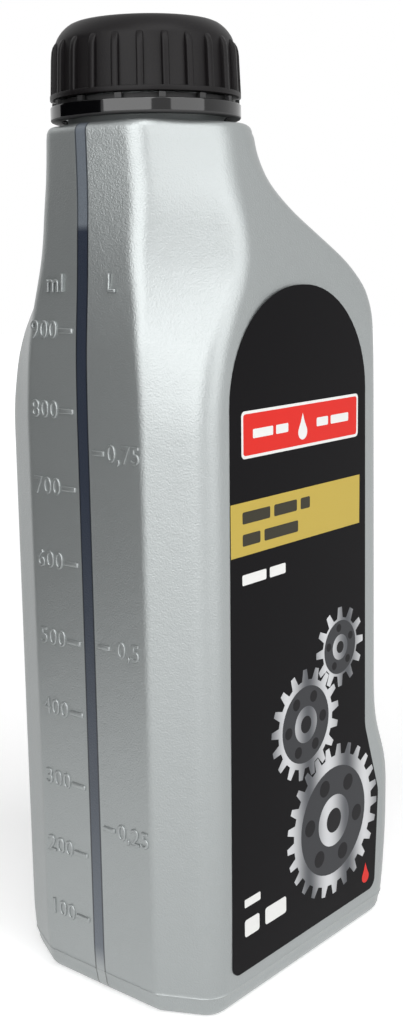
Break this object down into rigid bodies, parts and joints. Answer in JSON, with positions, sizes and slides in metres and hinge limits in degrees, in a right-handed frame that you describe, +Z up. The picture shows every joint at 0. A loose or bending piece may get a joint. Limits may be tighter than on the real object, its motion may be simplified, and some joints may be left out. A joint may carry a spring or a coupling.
{
  "type": "motor oil bottle",
  "caption": "Flat plastic oil bottle with faceted corners, a hand recess, a level strip, an arched front label and an offset ribbed screw cap over a tamper band.",
  "frame": {"origin": "middle of the bottle's footprint, on the face it stands on", "axes": "+Z up, -Y out of the labelled front, -X out of the narrow side with the level strip"},
  "size_m": [0.0936, 0.067, 0.2429],
  "materials": {
    "bottle_plastic": "pearl silver-grey, fine sand texture",
    "oil": "clear amber liquid",
    "label_print": "satin printed film",
    "band_plastic": "gloss black",
    "liner_foam": "white pressed wad",
    "cap_plastic": "satin black"
  },
  "bodies": {
    "bottle_body": {"bottle": "bottle_plastic", "oil_fill": "oil", "front_label": "label_print", "tamper_band": "band_plastic"},
    "liner_carrier": {"cap_liner": "liner_foam"},
    "cap": {"screw_cap": "cap_plastic"}
  },
  "joints": [
    {"name": "cap_lift", "type": "slide", "parent": "bottle_body", "child": "liner_carrier", "axis": [0, 0, 1], "range_m": [0, 0.01501]},
    {"name": "cap_turn", "type": "hinge", "parent": "liner_carrier", "child": "cap", "pos_m": [-0.0214, 0, 0.234], "axis": [0, 0, 1], "range_deg": [0, 1080]}
  ],
  "couplings": [
    {"joint": "cap_lift", "follows": "cap_turn", "m_per_rad": 0.00079577}
  ]
}
